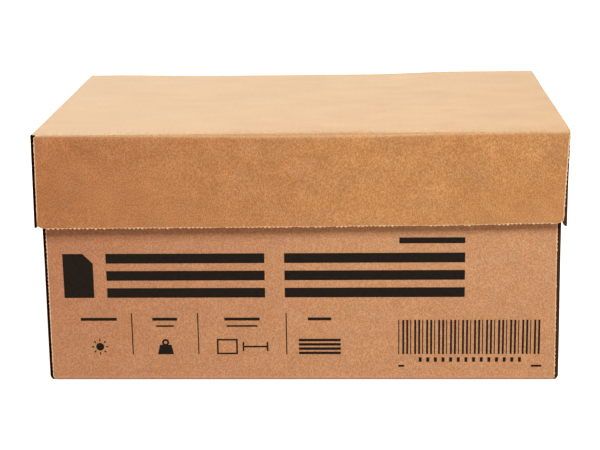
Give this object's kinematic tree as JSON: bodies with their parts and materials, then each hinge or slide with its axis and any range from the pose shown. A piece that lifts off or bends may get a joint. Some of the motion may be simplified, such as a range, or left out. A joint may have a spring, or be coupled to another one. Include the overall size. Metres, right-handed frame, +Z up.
{
  "type": "carton of paper reams",
  "caption": "Corrugated carton with a deep lift-off lid over a tray, printed on the front, holding two stacks of wrapped reams of paper.",
  "frame": {"origin": "on the floor, under the middle of the closed carton", "axes": "+X along the front to the right, +Y to the back, +Z up; the printed front faces -Y"},
  "size_m": [0.452, 0.308, 0.2208],
  "materials": {
    "tray_board": "matte uncoated kraft liner",
    "lid_board": "matte uncoated kraft liner",
    "ink": "matte dark brown printing ink soaked into the liner",
    "ream_wrapper": "smooth wrapping paper with a slight sheen"
  },
  "bodies": {
    "tray": {"tray": "tray_board", "front_print": "ink", "ream_left_1": "ream_wrapper", "ream_left_2": "ream_wrapper", "ream_left_3": "ream_wrapper", "ream_left_4": "ream_wrapper", "ream_left_5": "ream_wrapper", "ream_right_1": "ream_wrapper", "ream_right_2": "ream_wrapper", "ream_right_3": "ream_wrapper", "ream_right_4": "ream_wrapper", "ream_right_5": "ream_wrapper"},
    "lid": {"lid": "lid_board"}
  },
  "joints": [
    {"name": "lid_lift", "type": "slide", "parent": "tray", "child": "lid", "axis": [0, 0, 1], "range_m": [0, 0.15]}
  ]
}
